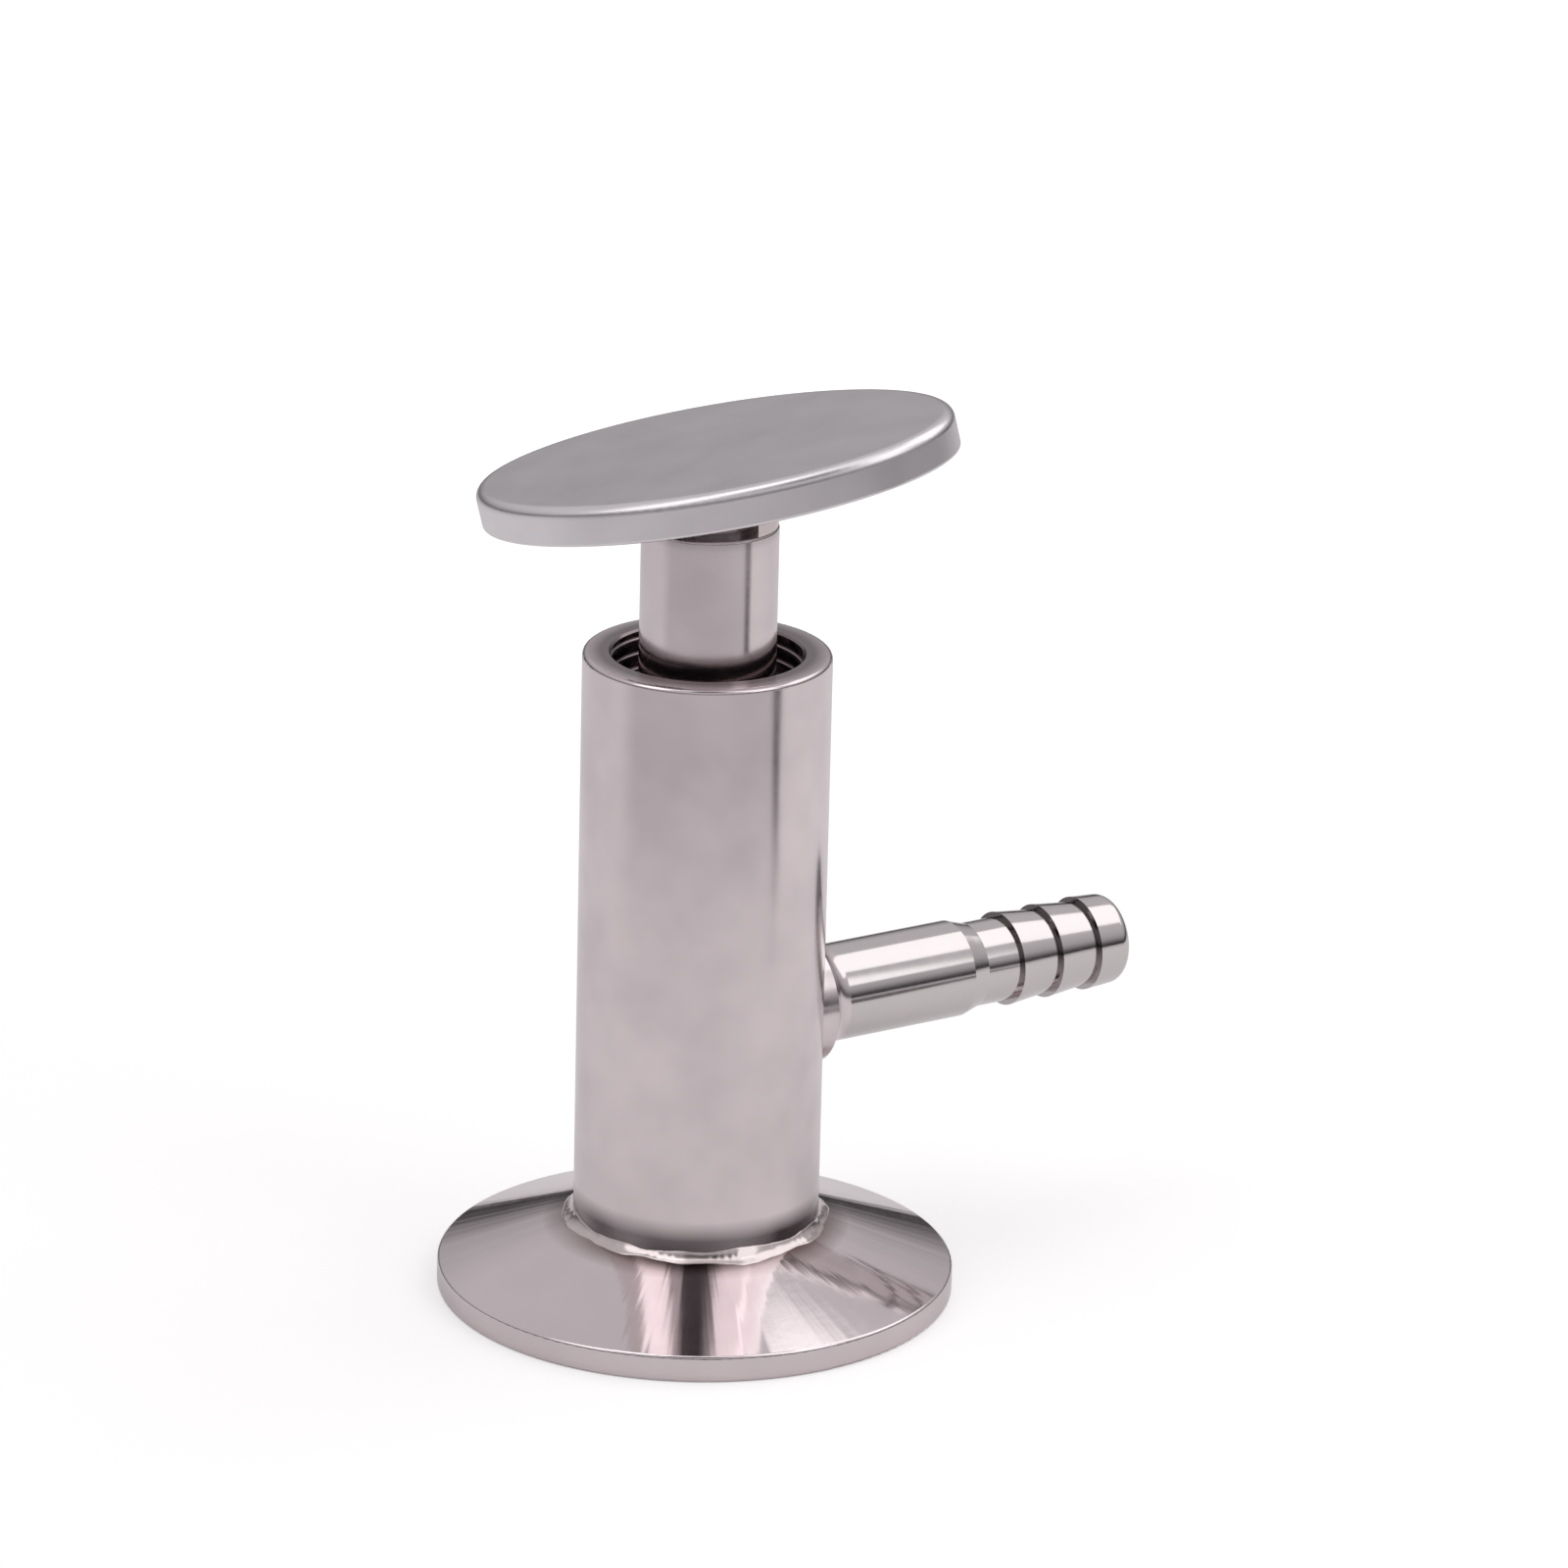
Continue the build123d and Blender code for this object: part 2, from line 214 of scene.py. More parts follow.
def add_node(tree, kind, settings=None, sockets=None, stops=(), **inputs):
    """Add a node with its settings, its sockets by number or name, and its ramp's stops.

    A socket is linked when it is given another node's output, and otherwise set.
    """
    node = tree.nodes.new(kind)
    for key, value in (settings or {}).items():
        setattr(node, key, value)
    named = {key.replace("_", " "): value for key, value in inputs.items()}
    for key, value in {**(sockets or {}), **named}.items():
        if isinstance(value, bpy.types.NodeSocket):
            tree.links.new(value, node.inputs[key])
        else:
            node.inputs[key].default_value = value
    for index, (position, tone) in enumerate(stops):
        ramp = node.color_ramp.elements
        stop = ramp[index] if index < 2 else ramp.new(position)
        stop.position = position
        stop.color = srgb(tone) if isinstance(tone, str) else tone
    return node


def per_metre(millimetres):
    """Noise scale that gives features of this size in object space."""
    return 1.0 / (millimetres * MM)


def blank_material(name):
    """Material with its own empty tree, and the shader that ends it."""
    material = bpy.data.materials.new(name)
    material.use_nodes = True
    tree = material.node_tree
    tree.nodes.clear()
    shader = add_node(tree, "ShaderNodeBsdfPrincipled")
    output = add_node(tree, "ShaderNodeOutputMaterial")
    tree.links.new(shader.outputs["BSDF"], output.inputs["Surface"])
    return material, tree, shader


def clouded(tree, base, factor, low, high):
    """The base colour, scaled from low to high by a noise factor."""
    dark = tuple(channel * low for channel in base[:3]) + (1.0,)
    light = tuple(min(channel * high, 1.0) for channel in base[:3]) + (1.0,)
    ramp = add_node(
        tree, "ShaderNodeValToRGB", stops=tuple(zip(NOISE_RANGE, (dark, light))), Fac=factor)
    return ramp.outputs["Color"]


def toned(tree, base, mask, tone):
    """The base colour, turned to a tone where a mask says."""
    mix = add_node(
        tree, "ShaderNodeMix", {"data_type": "RGBA"}, {COLOUR_A: base, COLOUR_B: srgb(tone)},
        Factor=mask)
    return mix.outputs[COLOUR_RESULT]


def axis_reach(tree, place):
    """Distance of a point from the valve's axis."""
    flat = add_node(
        tree, "ShaderNodeVectorMath", {"operation": "MULTIPLY"}, {0: place, 1: (1, 1, 0)})
    reach = add_node(
        tree, "ShaderNodeVectorMath", {"operation": "LENGTH"}, {0: flat.outputs["Vector"]})
    return reach.outputs["Value"]


def weld_tint_and_shade(tree, place, base, ring, reach_mm, tone):
    """The colour, darkened in soft patches round a ring, given as (radius, height): weld discolouring
    with painted shade in the corner beside the weld.
    """
    height = add_node(tree, "ShaderNodeSeparateXYZ", Vector=place).outputs["Z"]
    spot = add_node(tree, "ShaderNodeCombineXYZ", X=axis_reach(tree, place), Y=height)
    apart = add_node(
        tree, "ShaderNodeVectorMath", {"operation": "DISTANCE"},
        {0: spot.outputs["Vector"], 1: (*ring, 0)})
    near = add_node(
        tree, "ShaderNodeMapRange", Value=apart.outputs["Value"],
        From_Min=0.25 * reach_mm * MM, From_Max=reach_mm * MM, To_Min=1.0, To_Max=0.0)
    patch = add_node(
        tree, "ShaderNodeTexNoise", Vector=place, Scale=per_metre(9.0), Detail=1.0, Roughness=0.5)
    patchy = add_node(
        tree, "ShaderNodeMapRange", Value=patch.outputs["Fac"],
        From_Min=0.35, From_Max=0.65, To_Min=0.62, To_Max=0.95)
    amount = add_node(
        tree, "ShaderNodeMath", {"operation": "MULTIPLY"},
        {0: near.outputs["Result"], 1: patchy.outputs["Result"]})
    return toned(tree, base, amount.outputs["Value"], tone)


def grease_and_shade_darkening(tree, place, base, undarkened_r, darkest_r, tone):
    """The colour, darkened from one radius to the other: a greasy film with painted shade inside the
    mouth.
    """
    darkening = add_node(
        tree, "ShaderNodeMapRange", Value=axis_reach(tree, place),
        From_Min=undarkened_r, From_Max=darkest_r, To_Min=0.0, To_Max=1.0)
    return toned(tree, base, darkening.outputs["Result"], tone)


def dark_step_reflection(tree, place, base, axis_z):
    """The colour, with a painted dark reflection on faces that look back along a spout.

    It is strongest above the spout's axis, at height axis_z.
    """
    slanting = -0.45            # part of the face's normal that points along the spout
    straight_back = -0.8
    facing = add_node(tree, "ShaderNodeTexCoord").outputs["Normal"]
    along = add_node(tree, "ShaderNodeSeparateXYZ", Vector=facing).outputs["X"]
    back = add_node(
        tree, "ShaderNodeMapRange", Value=along,
        From_Min=slanting, From_Max=straight_back, To_Min=0.0, To_Max=1.0)
    height = add_node(tree, "ShaderNodeSeparateXYZ", Vector=place).outputs["Z"]
    upper = add_node(
        tree, "ShaderNodeMapRange", Value=height,
        From_Min=axis_z - 2.2 * MM, From_Max=axis_z + 0.6 * MM, To_Min=0.25, To_Max=0.85)
    amount = add_node(
        tree, "ShaderNodeMath", {"operation": "MULTIPLY"},
        {0: back.outputs["Result"], 1: upper.outputs["Result"]})
    return toned(tree, base, amount.outputs["Value"], STEP_REFLECTION_TONE)


def polishing_waves(tree, place, normal, height_mm):
    """The surface, with the long low waves that a polishing belt leaves along a tube."""
    drawn = add_node(tree, "ShaderNodeMapping", Vector=place, Scale=(1.0, 1.0, 0.3))
    waves = add_node(
        tree, "ShaderNodeTexNoise", Vector=drawn.outputs["Vector"],
        Scale=per_metre(6.0), Detail=2.0, Roughness=0.5)
    bump = add_node(
        tree, "ShaderNodeBump", Height=waves.outputs["Fac"], Normal=normal,
        Strength=1.0, Distance=height_mm * MM)
    return bump.outputs["Normal"]


def wiping_streaks(tree, place, normal):
    """The surface, drawn into low radial waves round the valve's axis."""
    flat = add_node(
        tree, "ShaderNodeVectorMath", {"operation": "MULTIPLY"}, {0: place, 1: (1, 1, 0)})
    heading = add_node(
        tree, "ShaderNodeVectorMath", {"operation": "NORMALIZE"}, {0: flat.outputs["Vector"]})
    waves = add_node(
        tree, "ShaderNodeTexNoise", Vector=heading.outputs["Vector"],
        Scale=STREAKS_PER_RADIUS, Detail=2.0, Roughness=0.5)
    bump = add_node(
        tree, "ShaderNodeBump", Height=waves.outputs["Fac"], Normal=normal,
        Strength=1.0, Distance=0.035 * MM)
    return bump.outputs["Normal"]


def steel(name, base, roughness, spread, grain, grit_mm, bump_mm, cloud_mm=9.0, tint=0.03,
          tint_and_shade=None, grease_and_shade=None, wave_mm=0.0, streaked=False, step_axis=None):
    """Stainless steel: fine grain along one direction over a cloudy, handled polish.

    grain stretches the grit, as (x, y, z) factors: a small factor draws it out along that axis.
    The tint and shade tuple is (ring, reach in mm, colour) of a weld's discolouring with painted
    shade beside it, and the grease tuple is (undarkened radius, darkest radius, colour) of a greasy
    film with painted shade in the mouth. step_axis is the height of a spout whose steps get a painted
    dark reflection.
    """
    material, tree, shader = blank_material(name)
    place = add_node(tree, "ShaderNodeTexCoord").outputs["Object"]
    drawn = add_node(tree, "ShaderNodeMapping", Vector=place, Scale=grain)
    grit = add_node(
        tree, "ShaderNodeTexNoise", Vector=drawn.outputs["Vector"],
        Scale=per_metre(grit_mm), Detail=3.0, Roughness=0.6)
    cloud = add_node(
        tree, "ShaderNodeTexNoise", Vector=place,
        Scale=per_metre(cloud_mm), Detail=2.0, Roughness=0.5)
    both = add_node(
        tree, "ShaderNodeMix", {"data_type": "FLOAT"},
        Factor=0.5, A=grit.outputs["Fac"], B=cloud.outputs["Fac"])
    gloss = add_node(
        tree, "ShaderNodeMapRange", Value=both.outputs["Result"],
        From_Min=NOISE_RANGE[0], From_Max=NOISE_RANGE[1],
        To_Min=roughness - spread, To_Max=roughness + spread)
    bump = add_node(
        tree, "ShaderNodeBump", Height=grit.outputs["Fac"],
        Strength=1.0, Distance=bump_mm * MM)
    shade = clouded(tree, base, cloud.outputs["Fac"], 1 - tint, 1 + tint)
    if tint_and_shade:
        shade = weld_tint_and_shade(tree, place, shade, *tint_and_shade)
    if grease_and_shade:
        shade = grease_and_shade_darkening(tree, place, shade, *grease_and_shade)
    if step_axis:
        shade = dark_step_reflection(tree, place, shade, step_axis)
    normal = bump.outputs["Normal"]
    if wave_mm:
        normal = polishing_waves(tree, place, normal, wave_mm)
    if streaked:
        normal = wiping_streaks(tree, place, normal)
    tree.links.new(shade, shader.inputs["Base Color"])
    tree.links.new(gloss.outputs["Result"], shader.inputs["Roughness"])
    tree.links.new(normal, shader.inputs["Normal"])
    shader.inputs["Metallic"].default_value = 1.0
    return material


def satin_turned_steel(name, base, tint_and_shade=None, grease_and_shade=None):
    """304 bar or tube, turned and satin polished: soft reflections, with the lay running round it."""
    return steel(
        name, base, roughness=0.17, spread=0.04, grain=(0.25, 0.25, 3.0), grit_mm=0.5,
        bump_mm=0.0003, cloud_mm=7.0, tint=0.08, tint_and_shade=tint_and_shade, grease_and_shade=grease_and_shade, wave_mm=0.07)


def buffed_steel(name, base, step_axis):
    """304 spout, buffed to a mirror: nearly sharp reflections, and a painted dark reflection on the
    barbs' steps.
    """
    return steel(
        name, base, roughness=0.12, spread=0.03, grain=(1.0, 1.0, 1.0), grit_mm=0.8,
        bump_mm=0.0006, tint=0.02, step_axis=step_axis)


def faced_steel(name, base, tint_and_shade):
    """304 ferrule, turned and buffed: faint rings, blurred mirror, wiped out from the weld."""
    return steel(
        name, base, roughness=0.09, spread=0.03, grain=(0.3, 0.3, 2.0), grit_mm=0.4,
        bump_mm=0.0006, tint_and_shade=tint_and_shade, streaked=True)


def brushed_plate_steel(name, base):
    """304 plate, belt brushed along its length: matt, with short scratches."""
    return steel(
        name, base, roughness=0.3, spread=0.03, grain=(2.2, 0.5, 1.0), grit_mm=0.35,
        bump_mm=0.0004, cloud_mm=6.0, tint=0.035)


def weld_metal(name, base):
    """Weld metal, wire brushed: bright, a little lumpy, with some dull spots."""
    return steel(
        name, base, roughness=0.2, spread=0.07, grain=(1.0, 1.0, 1.0), grit_mm=1.6,
        bump_mm=0.008, cloud_mm=3.0, tint=0.06)


def moulded_rubber(name, base):
    """EPDM from a mould: matt black with a faint bloom."""
    material, tree, shader = blank_material(name)
    place = add_node(tree, "ShaderNodeTexCoord").outputs["Object"]
    bloom = add_node(tree, "ShaderNodeTexNoise", Vector=place, Scale=per_metre(1.5), Detail=4.0)
    gloss = add_node(
        tree, "ShaderNodeMapRange", Value=bloom.outputs["Fac"],
        From_Min=NOISE_RANGE[0], From_Max=NOISE_RANGE[1], To_Min=0.5, To_Max=0.68)
    bump = add_node(
        tree, "ShaderNodeBump", Height=bloom.outputs["Fac"], Strength=0.4, Distance=0.02 * MM)
    shade = clouded(tree, base, bloom.outputs["Fac"], 0.8, 1.3)
    tree.links.new(shade, shader.inputs["Base Color"])
    tree.links.new(gloss.outputs["Result"], shader.inputs["Roughness"])
    tree.links.new(bump.outputs["Normal"], shader.inputs["Normal"])
    shader.inputs["IOR"].default_value = 1.52
    return material


def turned_ptfe(name, base):
    """PTFE off the lathe: waxy white with fine tool rings."""
    material, tree, shader = blank_material(name)
    place = add_node(tree, "ShaderNodeTexCoord").outputs["Object"]
    drawn = add_node(tree, "ShaderNodeMapping", Vector=place, Scale=(0.2, 0.2, 3.0))
    rings = add_node(
        tree, "ShaderNodeTexNoise", Vector=drawn.outputs["Vector"], Scale=per_metre(0.4))
    bump = add_node(
        tree, "ShaderNodeBump", Height=rings.outputs["Fac"], Strength=0.5, Distance=0.01 * MM)
    shade = clouded(tree, base, rings.outputs["Fac"], 0.94, 1.03)
    tree.links.new(shade, shader.inputs["Base Color"])
    tree.links.new(bump.outputs["Normal"], shader.inputs["Normal"])
    shader.inputs["Roughness"].default_value = 0.45
    shader.inputs["IOR"].default_value = 1.38
    return material


def dress(names, material):
    """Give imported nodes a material."""
    for name in names:
        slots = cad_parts[name].data.materials
        if not len(slots):
            slots.append(material)
        for index in range(len(slots)):
            slots[index] = material


# ---------------------------------------------------------------- meshes

def new_piece(name, mesh, material, body):
    """Object for a mesh, riding on a body, with the material it is given."""
    piece = bpy.data.objects.new(name, mesh)
    bpy.context.scene.collection.objects.link(piece)
    mesh.materials.append(material)
    for face in mesh.polygons:
        face.use_smooth = True
    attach(piece, body)
    return piece


def mesh_from_rows(name, rows, closed_row, closed_ends=False, capped=False):
    """Quad mesh through equal rows of points."""
    mesh_maker = bmesh.new()
    grid = [[mesh_maker.verts.new(point) for point in row] for row in rows]
    row_pairs = list(zip(grid, grid[1:]))
    if closed_ends:
        row_pairs.append((grid[-1], grid[0]))
    count = len(grid[0])
    for low, high in row_pairs:
        for index in range(count if closed_row else count - 1):
            after = (index + 1) % count
            mesh_maker.faces.new((low[index], low[after], high[after], high[index]))
    if capped:
        mesh_maker.faces.new(list(reversed(grid[0])))
        mesh_maker.faces.new(grid[-1])
    bmesh.ops.recalc_face_normals(mesh_maker, faces=mesh_maker.faces)
    mesh = bpy.data.meshes.new(name)
    mesh_maker.to_mesh(mesh)
    mesh_maker.free()
    return mesh


def round_axis(reach, around, height):
    """Point at a distance from the valve's axis, an angle round it and a height."""
    return (reach * math.cos(around), reach * math.sin(around), height)


def helix_ridge(name, root_r, crest_r, low, high, sizes):
    """Closed helical thread between two heights, run out to nothing at both ends."""
    per_turn = 72
    run_out = per_turn / 4
    least = 0.02                # share of the height left at the very ends
    root_sink = 0.04 * MM       # the root lies this far inside the steel
    turns = (high - low) / sizes.thread_pitch
    steps = int(turns * per_turn)
    rows = []
    for step in range(steps + 1):
        turn = step / per_turn
        fade = least + (1 - least) * min(1.0, step / run_out, (steps - step) / run_out)
        reach = root_r + (crest_r - root_r) * fade
        sink = root_r - math.copysign(root_sink, crest_r - root_r)
        section = (
            (sink, -sizes.thread_width / 2), (reach, -sizes.thread_crest / 2),
            (reach, sizes.thread_crest / 2), (sink, sizes.thread_width / 2))
        height = low + turn * sizes.thread_pitch
        rows.append([round_axis(r, 2 * math.pi * turn, height + rise) for r, rise in section])
    return mesh_from_rows(name, rows, closed_row=True, capped=True)


def reshaped(node, name, material, body, move):
    """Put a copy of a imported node, with its points moved by a function, in the node's place."""
    same_point = 0.001 * MM
    sharp_edge = math.radians(30)
    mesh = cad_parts[node].data.copy()
    mesh.name = name
    if "custom_normal" in mesh.attributes:
        mesh.attributes.remove(mesh.attributes["custom_normal"])
    mesh_maker = bmesh.new()
    mesh_maker.from_mesh(mesh)
    bmesh.ops.remove_doubles(mesh_maker, verts=mesh_maker.verts, dist=same_point)
    for vertex in mesh_maker.verts:
        vertex.co = move(vertex.co)
    mesh_maker.to_mesh(mesh)
    mesh_maker.free()
    mesh.materials.clear()
    piece = new_piece(name, mesh, material, body)
    mesh.set_sharp_from_angle(angle=sharp_edge)
    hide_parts(node)


def fillet_section(tube_r, foot_z, leg, slope, ripple):
    """Closed hollow-faced weld section, as (radius, height), in the corner of tube and cone."""
    steps = 8
    sink = 0.04 * MM            # top edge, inside the tube's skin
    toe_rise = 0.02 * MM        # toe, above the cone
    toe_depth = 0.12 * MM
    root = Vector((tube_r - 0.4 * MM, foot_z - 0.05 * MM))
    top = Vector((tube_r - sink, foot_z + 0.7 * leg))
    hollow = Vector((tube_r + 0.3 * leg, foot_z - 0.3 * leg * slope + 0.06 * leg))
    toe = Vector((tube_r + leg, foot_z - leg * slope + toe_rise))
    points = []
    for step in range(steps + 1):
        t = step / steps
        point = top * (1 - t) ** 2 + hollow * 2 * t * (1 - t) + toe * t ** 2
        points.append(point + Vector((1, 1)) * ripple * 4 * t * (1 - t))
    return points + [toe - Vector((0, toe_depth)), root]


def weld_wander(around):
    """How the hand strayed at an angle round the weld: slow, with a little quick."""
    slow, quick, quick_share = 2.6, 8.0, 0.25
    spot = Vector((math.cos(around), math.sin(around), 0))
    return noise.noise(spot * slow) + quick_share * noise.noise(spot * quick)


# ---------------------------------------------------------------- operators of the pieces

class VALVE_OT_steel_pieces(bpy.types.Operator):
    """Give the ferrule, tube, spout, handle and inner metal their stainless finishes"""

    bl_idname = "valve.steel_pieces"
    bl_label = "Steel pieces"

    def execute(self, context):
        colours = context.scene.valve_colours
        bead_low, bead_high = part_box("ferrule_weld_bead")
        tube_low, tube_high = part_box("body_tube")
        spout_low, spout_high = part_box("hose_spout")
        cone_ring = (bead_high[0] - BEAD_DARKENING_INSET, (bead_low[2] + bead_high[2]) / 2)
        tube_ring = (tube_high[1], tube_low[2] + DARKENING_RISE)
        spout_axis = (spout_low[2] + spout_high[2]) / 2
        # The foot and the cone get weld discolouring with painted shade; the mouth gets a greasy film
        # with painted shade.
        tube = satin_turned_steel(
            "satin turned 304 tube", colours.satin, (tube_ring, *TUBE_TINT_AND_SHADE), BORE_GREASE_AND_SHADE)
        ferrule = faced_steel(
            "faced and buffed 304 stainless", colours.satin, (cone_ring, *CONE_TINT_AND_SHADE))
        dress(["body_tube"], tube)
        dress(["ferrule"], ferrule)
        # Spout: painted dark reflection on the barbs' back faces.
        dress(["hose_spout"], buffed_steel("mirror buffed 304 stainless", colours.bright, spout_axis))
        dress(["handle_plate"], brushed_plate_steel("belt brushed 304 plate", colours.plate))
        inner = satin_turned_steel("machined 304 stainless", colours.bright)
        dress(["seal_holder", "seal_washer", "seal_screw", "swivel_pins"], inner)
        return {"FINISHED"}


class VALVE_OT_soft_pieces(bpy.types.Operator):
    """Give the seals and the guide ring their rubber and PTFE"""

    bl_idname = "valve.soft_pieces"
    bl_label = "Soft pieces"

    def execute(self, context):
        colours = context.scene.valve_colours
        rubber = moulded_rubber("moulded EPDM", colours.rubber)
        dress(["seat_seal", "stem_o_ring_lower", "stem_o_ring_upper"], rubber)
        dress(["stem_guide_ring"], turned_ptfe("turned PTFE", colours.ptfe))
        return {"FINISHED"}


class VALVE_OT_threads(bpy.types.Operator):
    """Cut the thread in the body's mouth and on the stem's collar"""

    bl_idname = "valve.threads"
    bl_label = "Threads"

    def execute(self, context):
        sizes = context.scene.valve_sizes
        # Thread steel darkened: a greasy film with painted shade of the bore.
        material = satin_turned_steel(
            "greased thread 304 stainless", context.scene.valve_colours.greased_and_shaded)
        mouth_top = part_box("body_tube")[1][2] - MOUTH_THREAD_DROP
        mouth_low = mouth_top - MOUTH_THREAD_LENGTH
        inner = helix_ridge(
            "mouth_thread", THREAD_BORE_R, THREAD_BORE_R - sizes.thread_height,
            mouth_low, mouth_top, sizes)
        new_piece("mouth_thread", inner, material, "valve_body")
        collar_low = mouth_low + sizes.thread_pitch / 2
        outer = helix_ridge(
            "collar_thread", COLLAR_R, COLLAR_R + sizes.thread_height,
            collar_low, collar_low + COLLAR_THREAD_LENGTH, sizes)
        new_piece("collar_thread", outer, material, "stem_and_handle")
        return {"FINISHED"}


class VALVE_OT_handle_joint(bpy.types.Operator):
    """Let the shank end below the slanted plate, with tacks across the gap"""

    bl_idname = "valve.handle_joint"
    bl_label = "Handle joint"

    def execute(self, context):
        colours = context.scene.valve_colours
        drop = context.scene.valve_sizes.shank_drop
        shank_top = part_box("handle_weld")[0][2]
        shoulder_low = shank_top - 0.35 * MM
        shoulder_high = shank_top + 0.05 * MM
        tack_inner_r = 5.6 * MM
        tack_outer_r = SHANK_R - 0.1 * MM

        def lower_shoulder(point):
            beside = shoulder_low < point.z < shoulder_high
            return point - Vector((0, 0, drop)) if beside else point

        def lower_tack(point):
            flat = Vector((point.x, point.y, 0))
            if flat.length > tack_inner_r:
                point = point + flat.normalized() * (tack_outer_r - flat.length)
            return lower_shoulder(point)

        # Painted shade in the gap under the plate; on the collar, a greasy film with painted shade of
        # the bore.
        gap_ring = (GAP_SHADE_R, shank_top - drop + DARKENING_RISE)
        satin = satin_turned_steel(
            "satin turned 304 stem", colours.satin, (gap_ring, *GAP_SHADE), COLLAR_GREASE_AND_SHADE)
        weld = weld_metal("tack weld", colours.weld)
        reshaped("stem", "stem_shank", satin, "stem_and_handle", lower_shoulder)
        reshaped("handle_weld", "handle_tacks", weld, "stem_and_handle", lower_tack)
        return {"FINISHED"}


class VALVE_OT_weld_beads(bpy.types.Operator):
    """Lay the hollow-faced weld at the body's foot and dress the one at the spout"""

    bl_idname = "valve.weld_beads"
    bl_label = "Weld beads"

    def execute(self, context):
        sizes = context.scene.valve_sizes
        colours = context.scene.valve_colours
        metal = weld_metal("wire brushed weld", colours.weld)
        tube_low, tube_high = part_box("body_tube")
        tube_r = tube_high[1]
        foot_z = tube_low[2]
        slope = math.tan(sizes.cone_angle)
        ripples = int(2 * math.pi * tube_r / sizes.ripple_pitch)
        ripple_stray = 14           # radians by which the wander shifts a ripple
        steps = 480
        rows = []
        for step in range(steps):
            around = 2 * math.pi * step / steps
            wander = weld_wander(around)
            ripple = math.cos(ripples * around + ripple_stray * wander) * sizes.ripple_height
            leg = sizes.weld_leg + sizes.leg_wander * wander
            section = fillet_section(tube_r, foot_z, leg, slope, ripple)
            rows.append([round_axis(r, around, height) for r, height in section])
        mesh = mesh_from_rows("foot_weld", rows, closed_row=True, closed_ends=True)
        piece = new_piece("foot_weld", mesh, metal, "valve_body")
        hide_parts("ferrule_weld_bead")
        dress(["spout_weld_bead"], weld_metal("dressed weld", colours.satin))
        return {"FINISHED"}


# ---------------------------------------------------------------- stage

def direction(heading, drop):
    """Unit vector at a compass heading, pointing down by drop."""
    level = math.cos(drop)
    return Vector((math.cos(heading) * level, math.sin(heading) * level, -math.sin(drop)))


def viewer_right(look):
    """Unit vector to the right of a viewer who looks along a heading."""
    return Vector((math.sin(look), -math.cos(look), 0))


def aimed(location, target):
    """Rotation and place of a lamp that shines from a location at a target."""
    away = (location - target).normalized()
    side = Vector((0, 0, 1)).cross(away).normalized()
    top = away.cross(side)
    turn = Matrix((side, top, away)).transposed().to_4x4()
    return Matrix.Translation(location) @ turn


def hang_softbox(name, heading, drop, size, power):
    """Rectangular soft lamp that shines along a heading at the valve."""
    lamp = bpy.data.lights.new(name, "AREA")
    lamp.shape = "RECTANGLE"
    lamp.size = size[0]
    lamp.size_y = size[1]
    lamp.energy = power
    item = bpy.data.objects.new(name, lamp)
    item.matrix_world = aimed(SOFTBOX_AIM - direction(heading, drop) * SOFTBOX_REACH, SOFTBOX_AIM)
    item.visible_camera = False
    bpy.context.scene.collection.objects.link(item)


def floor_material(base):
    """Plain pale matt table; the camera alone sees it whitened, and fully so away from the valve."""
    material, tree, shader = blank_material("matt pale table")
    shader.inputs["Base Color"].default_value = base
    shader.inputs["Roughness"].default_value = 0.9
    rays = add_node(tree, "ShaderNodeLightPath")
    place = add_node(tree, "ShaderNodeTexCoord").outputs["Object"]
    reach = add_node(tree, "ShaderNodeVectorMath", {"operation": "LENGTH"}, {0: place})
    whiten = add_node(
        tree, "ShaderNodeMapRange", Value=reach.outputs["Value"],
        From_Min=FLOOR_LIFT_REACH[0], From_Max=FLOOR_LIFT_REACH[1],
        To_Min=FLOOR_LIFT[0], To_Max=FLOOR_LIFT[1])
    lift = add_node(
        tree, "ShaderNodeMath", {"operation": "MULTIPLY"},
        {0: rays.outputs["Is Camera Ray"], 1: whiten.outputs["Result"]})
    shader.inputs["Emission Color"].default_value = (1, 1, 1, 1)
    tree.links.new(lift.outputs["Value"], shader.inputs["Emission Strength"])
    return material


def lay_floor(size, base):
    """Square floor under the valve."""
    side = size / 2
    corners = [(-side, -side, 0), (side, -side, 0), (side, side, 0), (-side, side, 0)]
    mesh = bpy.data.meshes.new("floor")
    mesh.from_pydata(corners, [], [(0, 1, 2, 3)])
    mesh.materials.append(floor_material(base))
    floor = bpy.data.objects.new("floor", mesh)
    bpy.context.scene.collection.objects.link(floor)


def set_camera(stage):
    """Camera on its heading, a little right of the stem and leaned a little."""
    right = viewer_right(stage.view_heading)
    aim = right * stage.aim_aside + Vector((0, 0, stage.aim_height))
    forward = direction(stage.view_heading, stage.view_drop)
    up = right.cross(forward)
    leaned_right = right * math.cos(stage.view_roll) + up * math.sin(stage.view_roll)
    leaned_up = up * math.cos(stage.view_roll) - right * math.sin(stage.view_roll)
    lens = bpy.data.cameras.new("camera")
    lens.lens = stage.lens
    lens.sensor_width = 36.0
    camera = bpy.data.objects.new("camera", lens)
    turn = Matrix((leaned_right, leaned_up, -forward)).transposed().to_4x4()
    camera.matrix_world = Matrix.Translation(aim - forward * stage.view_distance) @ turn
    bpy.context.scene.collection.objects.link(camera)
    bpy.context.scene.camera = camera


def only_in_polish(mesh):
    """Stage object that shows in reflections alone."""
    card = bpy.data.objects.new(mesh.name, mesh)
    card.visible_camera = False
    card.visible_diffuse = False
    card.visible_shadow = False
    bpy.context.scene.collection.objects.link(card)


